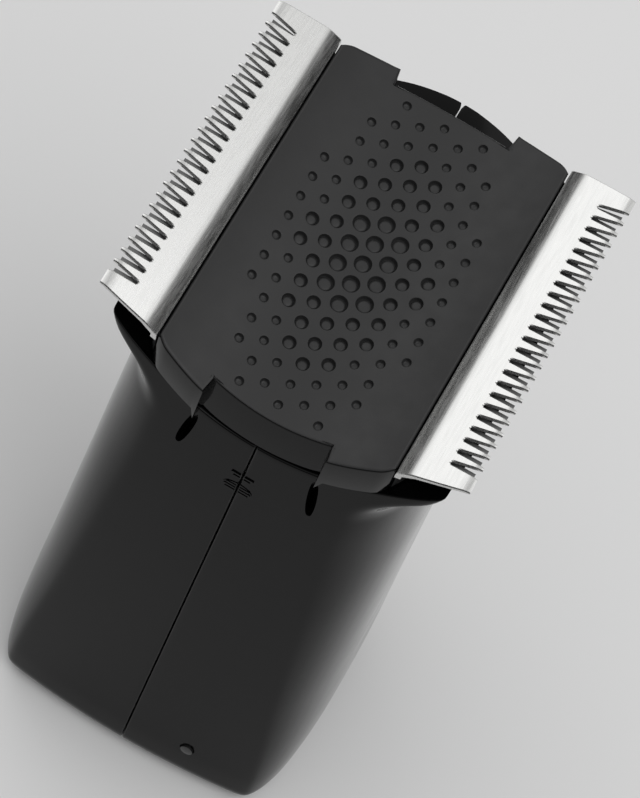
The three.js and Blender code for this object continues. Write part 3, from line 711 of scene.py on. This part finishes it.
def cover_feet():
    """The end walls' feet, which reach under the blades."""
    feet = []
    for side in (-1, 1):
        for end in (-1, 1):
            rows = []
            for x in np.linspace(PLATE_HALF - 1.0, COVER_HALF, 6):
                outer = end_line(x)
                top, low = layer_n(CARRIAGE_TOP, x), layer_n(PARTING_RADIUS - GAP / 2, x)
                corners = [(outer - END_WALL, top), (outer, top), (outer, low)]
                corners.append((outer - END_WALL, low))
                rows.append([(side * x, end * v, n) for v, n in corners])
            points = [p for row in rows for p in row]
            faces = [(0, 1, 2, 3), tuple(len(points) - 4 + i for i in range(4))]
            for r in range(len(rows) - 1):
                for i in range(4):
                    a, b = r * 4 + i, r * 4 + (i + 1) % 4
                    faces.append((a, b, b + 4, a + 4))
            feet.append((points, faces))
    return feet


# ---- blades -----------------------------------------------------------------------------

BLADE_INNER = (12.5, 3.0)
BLADE_BEND = (13.8, 4.0)
BLADE_TIP = (19.2, 5.6)
BLADE_THICK = 0.6
FLANGE_BOTTOM = 0.4
FLANGE_WINDOW = 6.6
BLADE_REACH = 18.5
BLADE_END_RADIUS = 120.0
TOOTH_PITCH = 1.3
TOOTH_GAPS = 24
TOOTH_ROOT = 16.5
GAP_TIP_HALF = 0.47
GAP_ROOT_HALF = 0.2
TOOTH_CHAMFER = 0.1
TIP_BEVEL = 0.8


def blade_n(x):
    slope = (BLADE_TIP[1] - BLADE_BEND[1]) / (BLADE_TIP[0] - BLADE_BEND[0])
    return BLADE_BEND[1] + (x - BLADE_BEND[0]) * slope


def blade_end(x):
    return BLADE_REACH - x * x / (2 * BLADE_END_RADIUS)


def gap_half(x):
    t = (x - TOOTH_ROOT) / (BLADE_TIP[0] - TOOTH_ROOT)
    return GAP_ROOT_HALF + (GAP_TIP_HALF - GAP_ROOT_HALF) * t


def blade_samples():
    """Sections along the blade: (kind, place, side), kind "tooth" or "gap"."""
    gaps = [(i - (TOOTH_GAPS - 1) / 2) * TOOTH_PITCH for i in range(TOOTH_GAPS)]
    samples = [("end", 0, -1), ("end", TOOTH_CHAMFER, -1)]
    for middle in gaps:
        samples.append(("tooth", middle, -1 - TOOTH_CHAMFER))
        samples.append(("tooth", middle, -1))
        for angle in (-60, -30, 0, 30, 60):
            samples.append(("gap", middle, angle))
        samples.append(("tooth", middle, 1))
        samples.append(("tooth", middle, 1 + TOOTH_CHAMFER))
    samples += [("end", TOOTH_CHAMFER, 1), ("end", 0, 1)]
    return samples


def sample_v(sample, x):
    kind, place, side = sample
    if kind == "end":
        return side * (blade_end(x) - place)
    if kind == "gap":
        return place + GAP_ROOT_HALF * math.sin(math.radians(side))
    half = gap_half(max(x, TOOTH_ROOT))
    return place + math.copysign(half + (abs(side) - 1), side)


def sample_edge_drop(sample):
    """Chamfer: how far the top drops at this section beyond the root."""
    kind, place, side = sample
    if kind == "end":
        return TOOTH_CHAMFER if place == 0 else 0
    return TOOTH_CHAMFER if abs(side) == 1 else 0


def flange_bottom(v):
    if abs(v) < FLANGE_WINDOW:
        return BLADE_INNER[1] - 0.7
    if abs(v) > END_REACH - 4:
        return 2.05
    return FLANGE_BOTTOM


def ribbon(v, root_x):
    """Pairs of (top, under) points across the strip, from the tooth root inward."""
    pairs = []
    under = BLADE_THICK
    for t in (0.0, 0.06, 0.35, 0.7, 0.9):
        x = root_x + (BLADE_BEND[0] + 0.3 - root_x) * t
        pairs.append(((x, blade_n(x)), (x, blade_n(x) - under + 0.12 * (1 - t))))
    bend_under = (BLADE_BEND[0] + 0.28, BLADE_BEND[1] - 0.6)
    pairs.append(((BLADE_BEND[0] + 0.1, BLADE_BEND[1] + 0.01), bend_under))
    bend_inner = (bend_under[0] - 0.2, bend_under[1] - 0.16)
    pairs.append(((BLADE_BEND[0] - 0.15, BLADE_BEND[1] - 0.13), bend_inner))
    corner_under = (BLADE_INNER[0] + BLADE_THICK, BLADE_INNER[1] - 0.3)
    corner_outer = (corner_under[0] + 0.06, corner_under[1] + 0.05)
    pairs.append(((BLADE_INNER[0] + 0.22, BLADE_INNER[1] + 0.16), corner_outer))
    pairs.append(((BLADE_INNER[0] + 0.03, BLADE_INNER[1] - 0.06), corner_under))
    corner_foot = (corner_under[0], corner_under[1] - 0.1)
    pairs.append(((BLADE_INNER[0], BLADE_INNER[1] - 0.25), corner_foot))
    foot = flange_bottom(v)
    pairs.append(((BLADE_INNER[0], foot), (corner_under[0], foot)))
    return pairs


TOOTH_STATIONS = (16.75, 17.2, 17.8, 18.4, 18.8, 19.1, 19.2)


def tooth_pair(sample, x):
    """Top and under height of a tooth at x: the tip is ground to a bevel."""
    ground = max(0.0, x - (BLADE_TIP[0] - TIP_BEVEL)) / TIP_BEVEL
    top = blade_n(x) - 0.26 * ground ** 1.6 - sample_edge_drop(sample)
    under = blade_n(x) - BLADE_THICK + 0.12
    return top, under


def build_blade(name, node, side):
    samples = blade_samples()
    points, rows = [], []
    for sample in samples:
        root = TOOTH_ROOT
        if sample[0] == "gap":
            root -= GAP_ROOT_HALF * math.cos(math.radians(sample[2]))
        row = []
        for k, (top, under) in enumerate(ribbon(sample_v(sample, 13), root)):
            lowered = sample_edge_drop(sample) if sample[0] == "end" or k == 0 else 0
            if sample[0] == "gap" and k == 0:
                lowered = TOOTH_CHAMFER
            for (x, n), drop in ((top, lowered), (under, 0)):
                row.append(len(points))
                points.append((x, sample_v(sample, x if sample[0] == "end" else root), n - drop))
        if sample[0] != "gap":
            for x in TOOTH_STATIONS:
                top, under = tooth_pair(sample, x)
                for n in (top, under):
                    row.append(len(points))
                    points.append((x, sample_v(sample, x), n))
        rows.append(row)
    faces = blade_faces(samples, rows)
    points = np.array(points) * np.array([side, 1, 1])
    return make_piece(name, from_head(points), faces, "head", "blade_steel", [node], 28)


def blade_faces(samples, rows):
    """Skin of the strip, the walls of its gaps, and its teeth."""
    strip = 2 * len(ribbon(0, TOOTH_ROOT))
    stations = len(TOOTH_STATIONS)
    faces = []
    chain = list(range(0, strip, 2)) + list(range(strip - 1, 0, -2))
    for i in range(len(rows) - 1):
        left, right = rows[i], rows[i + 1]
        for a, b in zip(chain, chain[1:]):
            faces.append((left[a], left[b], right[b], right[a]))
        if "gap" in (samples[i][0], samples[i + 1][0]):
            faces.append((left[0], right[0], right[1], left[1]))
            continue
        for upper in (0, 1):
            line = [upper] + [strip + 2 * i + upper for i in range(stations)]
            for a, b in zip(line, line[1:]):
                faces.append((left[a], right[a], right[b], left[b]))
        tip = strip + 2 * (stations - 1)
        faces.append((left[tip], right[tip], right[tip + 1], left[tip + 1]))
    for i, row in enumerate(rows):
        if is_tooth_side(samples, i):
            line = [0] + [strip + 2 * k for k in range(stations)]
            for a, b in zip(line, line[1:]):
                faces.append((row[a], row[b], row[b + 1], row[a + 1]))
    for row in (rows[0], rows[-1]):
        for a in range(0, strip - 2, 2):
            faces.append((row[a], row[a + 1], row[a + 3], row[a + 2]))
    return faces


def is_tooth_side(samples, i):
    """A section at a tooth's flank, or at the blade's end."""
    if i in (0, len(samples) - 1):
        return True
    kind, _, side = samples[i]
    return kind == "tooth" and abs(side) == 1


# ---- small details ------------------------------------------------------------------------

EMBLEM_Z = 57.6
EMBLEM_HALF = (1.55, 0.85)
EMBLEM_BARS = [(-0.42, 1.15), (0.0, 1.35), (0.42, 1.15), (1.9, 0.8), (2.35, 1.1)]
BAR_HALF = 0.1


def emblem_solid(outline, side, height, proud):
    """A flat shape on the handle's front, standing proud of it."""
    y = float(front_y(np.array(height)))
    points, faces = prism([(x * side, z) for x, z in outline], y - proud, y + 0.4)
    return [(x, depth, z) for x, z, depth in points], faces


def build_emblem(name, side):
    """Half of a plain ribbed oval beside the seam, with two short bars above it."""
    half_x, half_z = EMBLEM_HALF
    oval = [(0.12, EMBLEM_Z - half_z)]
    for angle in np.linspace(-math.pi / 2 + 0.1, math.pi / 2 - 0.1, 16):
        oval.append((half_x * math.cos(angle), EMBLEM_Z + half_z * math.sin(angle)))
    oval.append((0.12, EMBLEM_Z + half_z))
    solids = [emblem_solid(oval, side, EMBLEM_Z, 0.05)]
    for lift, length in EMBLEM_BARS:
        z = EMBLEM_Z + lift
        bar = [
            (0.2, z - BAR_HALF), (length, z - BAR_HALF), (length + BAR_HALF, z),
            (length, z + BAR_HALF), (0.2, z + BAR_HALF),
        ]
        solids.append(emblem_solid(bar, side, z, 0.13))
    points, faces = together(solids)
    return make_piece(name, from_handle(points), faces, "handle", "casing")


LENS_RADIUS = 0.7
LENS_CROWN = 0.05


def build_lens():
    """End of the light pipe, flush with the casing and slightly domed."""
    corner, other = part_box("light_pipe")
    centre = (corner + other) / 2 / MM
    surface = from_handle([(centre.x, float(front_y(np.array(centre.z))), centre.z)])[0][1]
    rings, sides = 6, 24
    points = []
    for r in range(rings + 1):
        reach = LENS_RADIUS * r / rings
        for s in range(sides):
            angle = 2 * math.pi * s / sides
            crown = LENS_CROWN * (1 - (r / rings) ** 2)
            points.append((
                centre.x + reach * math.cos(angle),
                surface - crown,
                centre.z + reach * math.sin(angle),
            ))
    for s in range(sides):
        x, _, z = points[rings * sides + s]
        points.append((x, surface + 0.3, z))
    faces = []
    for r in range(rings + 1):
        for s in range(sides):
            a, b = r * sides + s, r * sides + (s + 1) % sides
            faces.append((a, b, b + sides, a + sides))
    faces.append(tuple((rings + 1) * sides + s for s in range(sides)))
    return make_piece("light_lens", points, faces, "handle", "clear_plastic")


# ---- materials ------------------------------------------------------------------------------


class Nodes:
    """Short way to write one material's nodes."""

    def __init__(self, name):
        self.material = bpy.data.materials.new(name)
        self.material.use_nodes = True
        self.tree = self.material.node_tree
        self.shader = self.tree.nodes["Principled BSDF"]

    def add(self, kind, **values):
        node = self.tree.nodes.new(kind)
        for key, value in values.items():
            if hasattr(node, key):
                setattr(node, key, value)
            else:
                node.inputs[key.replace("_", " ")].default_value = value
        return node

    def link(self, source, target):
        self.tree.links.new(source, target)

    def place(self, scale=(1, 1, 1)):
        """Object coordinates in metres, scaled."""
        coordinates = self.add("ShaderNodeTexCoord")
        mapping = self.add("ShaderNodeMapping")
        mapping.inputs["Scale"].default_value = scale
        self.link(coordinates.outputs["Object"], mapping.inputs["Vector"])
        return mapping.outputs["Vector"]

    def noise(self, vector, scale, detail=3.0):
        node = self.add("ShaderNodeTexNoise", Scale=scale, Detail=detail)
        self.link(vector, node.inputs["Vector"])
        return node.outputs["Fac"]

    def range(self, value, low, high, from_low=0.3, from_high=0.7):
        node = self.add("ShaderNodeMapRange")
        for key, number in zip(("From Min", "From Max", "To Min", "To Max"),
                               (from_low, from_high, low, high)):
            node.inputs[key].default_value = number
        self.link(value, node.inputs["Value"])
        return node.outputs["Result"]

    def blend(self, value, dark, light):
        node = self.add("ShaderNodeMix", data_type="RGBA")
        sockets = [s for s in node.inputs if s.type == "RGBA"]
        sockets[0].default_value = (*dark, 1)
        sockets[1].default_value = (*light, 1)
        self.link(value, node.inputs[0])
        return [s for s in node.outputs if s.type == "RGBA"][0]

    def colour(self, value, dark, light):
        self.link(self.blend(value, dark, light), self.shader.inputs["Base Color"])

    def roughness(self, value, low, high):
        self.link(self.range(value, low, high), self.shader.inputs["Roughness"])

    def bump(self, value, strength, distance):
        node = self.add("ShaderNodeBump", Strength=strength, Distance=distance)
        self.link(value, node.inputs["Height"])
        self.link(node.outputs["Normal"], self.shader.inputs["Normal"])

    def set(self, **values):
        for key, value in values.items():
            self.shader.inputs[key.replace("_", " ")].default_value = value


def gloss_black():
    n = Nodes("gloss_black")
    where = n.place()
    n.colour(n.noise(where, 60), (0.0012, 0.0012, 0.0013), (0.002, 0.002, 0.0021))
    n.roughness(n.noise(where, 220, 5), 0.07, 0.12)
    n.bump(n.noise(where, 350, 1), 0.03, 0.0002)
    n.set(IOR=1.45, Specular_IOR_Level=0.14)
    return n.material


def satin_plate():
    n = Nodes("satin_plate")
    where = n.place()
    n.colour(n.noise(where, 90), (0.02, 0.02, 0.0203), (0.026, 0.026, 0.0263))
    n.roughness(n.noise(where, 500, 4), 0.38, 0.48)
    n.bump(n.noise(where, 5000, 2), 0.12, 0.00005)
    n.set(IOR=1.5, Specular_IOR_Level=0.32)
    return n.material


def brushed(name, light, roughness, strength):
    n = Nodes(name)
    lines = n.noise(n.place((1, 0.06, 0.3)), 6000, 4)
    dark = tuple(c * 0.86 for c in light)
    n.colour(lines, dark, light)
    n.roughness(lines, roughness - 0.05, roughness + 0.07)
    n.bump(lines, strength, 0.00002)
    n.set(Metallic=1.0)
    return n.material


def moulded(name, dark, light, roughness, grain=2500):
    """Moulded plastic or rubber with a fine grain."""
    n = Nodes(name)
    where = n.place()
    n.colour(n.noise(where, 120), dark, light)
    n.roughness(n.noise(where, 400, 4), roughness - 0.05, roughness + 0.06)
    n.bump(n.noise(where, grain, 2), 0.1, 0.00005)
    return n.material


def circuit():
    """Green board with copper tracks."""
    n = Nodes("circuit")
    tracks = n.add("ShaderNodeTexBrick", Scale=260.0)
    n.link(n.place((1, 1, 1)), tracks.inputs["Vector"])
    tracks.inputs["Mortar Size"].default_value = 0.03
    n.colour(tracks.outputs["Fac"], (0.010, 0.06, 0.022), (0.03, 0.12, 0.04))
    n.roughness(n.noise(n.place(), 300), 0.35, 0.5)
    return n.material


def lens_plastic():
    n = Nodes("lens_plastic")
    n.colour(n.noise(n.place(), 800), (0.012, 0.012, 0.012), (0.018, 0.018, 0.018))
    n.roughness(n.noise(n.place(), 900), 0.1, 0.2)
    return n.material


def finishes():
    """The material of each slot of the record."""
    return {
        "casing": gloss_black(),
        "skin_plate": satin_plate(),
        "inner_plastic": moulded(
            "dark_plastic", (0.004, 0.004, 0.004), (0.007, 0.007, 0.007), 0.4
        ),
        "blade_steel": brushed("blade_steel", (0.66, 0.66, 0.65), 0.26, 0.3),
        "dull_steel": brushed("dull_steel", (0.16, 0.16, 0.16), 0.42, 0.3),
        "contact_brass": brushed("contact_brass", (0.75, 0.55, 0.28), 0.3, 0.2),
        "board": circuit(),
        "cell_wrap": moulded("cell_wrap", (0.02, 0.06, 0.15), (0.03, 0.08, 0.19), 0.35),
        "soft_rubber": moulded("soft_rubber", (0.006, 0.006, 0.006), (0.01, 0.01, 0.01), 0.7),
        "clear_plastic": lens_plastic(),
        "white_plastic": moulded("white_plastic", (0.62, 0.61, 0.58), (0.7, 0.69, 0.66), 0.45),
    }


def dress(made):
    """Gives every piece the material of its slot."""
    materials = finishes()
    slots = {part["node"]: part["material_slot"] for part in frame["record"]["subparts"]}
    for name, node in frame["nodes"].items():
        node.data.materials.clear()
        node.data.materials.append(materials[slots[name]])
    for piece in made:
        piece.data.materials.clear()
        piece.data.materials.append(materials[piece["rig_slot"]])
        if piece.name == "dimpled_cover":
            polish_walls(piece.data, materials["casing"])


WALL_START = 17.2  # beyond the last dimple, towards each end
WALL_STEEPNESS = 0.6


def polish_walls(mesh, gloss):
    """The cover's end walls are smooth like the handle; only its top is satin."""
    mesh.materials.append(gloss)
    up = Vector((0, -math.sin(HEAD_TILT), math.cos(HEAD_TILT)))
    along = Vector((0, math.cos(HEAD_TILT), math.sin(HEAD_TILT)))
    middle = along.dot(Vector((0, HEAD_Y - MIDDLE_Y, HEAD_Z)) * MM)
    for face in mesh.polygons:
        far = abs(face.center.dot(along) - middle) > WALL_START * MM
        if far and face.normal.dot(up) < WALL_STEEPNESS:
            face.material_index = 1


# ---- studio ----------------------------------------------------------------------------------

CAMERA_TARGET = (2.13, -4.81, 55.0)
CAMERA_DISTANCE = 349.3
CAMERA_AZIMUTH = 4.743
CAMERA_ELEVATION = 57.08
CAMERA_ROLL = 25.82
CAMERA_LENS = 162.4


def build_camera():
    data = bpy.data.cameras.new("camera")
    data.lens = CAMERA_LENS
    data.clip_start, data.clip_end = 0.01, 20
    camera = bpy.data.objects.new("camera", data)
    bpy.context.scene.collection.objects.link(camera)
    azimuth, elevation = math.radians(CAMERA_AZIMUTH), math.radians(CAMERA_ELEVATION)
    back = Vector((
        math.sin(azimuth) * math.cos(elevation),
        -math.cos(azimuth) * math.cos(elevation),
        math.sin(elevation),
    ))
    camera.location = (Vector(CAMERA_TARGET) + back * CAMERA_DISTANCE) * MM
    camera.rotation_mode = "QUATERNION"
    roll = Quaternion((0, 0, 1), math.radians(CAMERA_ROLL))
    camera.rotation_quaternion = back.to_track_quat("Z", "Y") @ roll
    bpy.context.scene.camera = camera


def flat_panel(name, centre, size, facing):
    mesh = bpy.data.meshes.new(name)
    w, h = size[0] / 2, size[1] / 2
    mesh.from_pydata([(-w, -h, 0), (w, -h, 0), (w, h, 0), (-w, h, 0)], [], [(0, 1, 2, 3)])
    obj = bpy.data.objects.new(name, mesh)
    bpy.context.scene.collection.objects.link(obj)
    obj.location = centre
    obj.rotation_mode = "QUATERNION"
    obj.rotation_quaternion = Vector(facing).to_track_quat("Z", "Y")
    return obj


def build_floor():
    floor = flat_panel("floor", (0, 0, 0), (8, 8), (0, 0, 1))
    n = Nodes("floor")
    n.colour(n.noise(n.place(), 2), (0.79, 0.79, 0.79), (0.81, 0.81, 0.81))
    n.set(Roughness=0.9, Specular_IOR_Level=0.1)
    floor.data.materials.append(n.material)


def soft_light(name, location, size, power, target=(0, 0, 0.05)):
    data = bpy.data.lights.new(name, "AREA")
    data.shape = "RECTANGLE"
    data.size, data.size_y = size
    data.energy = power
    light = bpy.data.objects.new(name, data)
    bpy.context.scene.collection.objects.link(light)
    light.location = location
    light.rotation_mode = "QUATERNION"
    away = Vector(location) - Vector(target)
    light.rotation_quaternion = away.to_track_quat("Z", "Y")


SKY_STRENGTH = 1.0
SKY = [(0.5, 0.02), (0.7, 0.05), (0.8, 0.5), (0.88, 1.0), (0.94, 0.95), (0.98, 0.7)]


def build_world():
    """One soft dome for every ray, brighter overhead than at the horizon."""
    world = bpy.data.worlds.new("studio")
    bpy.context.scene.world = world
    world.use_nodes = True
    tree = world.node_tree
    background = tree.nodes["Background"]
    coordinates = tree.nodes.new("ShaderNodeTexCoord")
    split = tree.nodes.new("ShaderNodeSeparateXYZ")
    height = tree.nodes.new("ShaderNodeMapRange")
    height.inputs["From Min"].default_value = -1
    height.inputs["From Max"].default_value = 1
    ramp = tree.nodes.new("ShaderNodeValToRGB")
    stops = ramp.color_ramp.elements
    while len(stops) < len(SKY):
        stops.new(0.5)
    for stop, (position, value) in zip(stops, SKY):
        stop.position = position
        stop.color = (value, value, value, 1)
    tree.links.new(coordinates.outputs["Generated"], split.inputs[0])
    tree.links.new(split.outputs["Z"], height.inputs["Value"])
    tree.links.new(height.outputs["Result"], ramp.inputs["Fac"])
    tree.links.new(ramp.outputs["Color"], background.inputs["Color"])
    background.inputs["Strength"].default_value = SKY_STRENGTH


def build_studio():
    build_camera()
    build_floor()
    build_world()
    soft_light("key", (-0.67, 0.39, 0.9), (0.9, 0.9), 1.6)
    soft_light("fill", (0.6, -0.3, 1.0), (1.0, 1.0), 4.0)
    bpy.context.scene.view_settings.view_transform = "Standard"


made = [
    build_shell("left_casing", "left_shell", -1),
    build_shell("right_casing", "right_shell", 1),
    build_cover(),
    build_blade("left_toothed_blade", "left_blade", -1),
    build_blade("right_toothed_blade", "right_blade", 1),
    build_emblem("emblem_left", -1),
    build_emblem("emblem_right", 1),
    build_lens(),
]
dress(made)
build_studio()
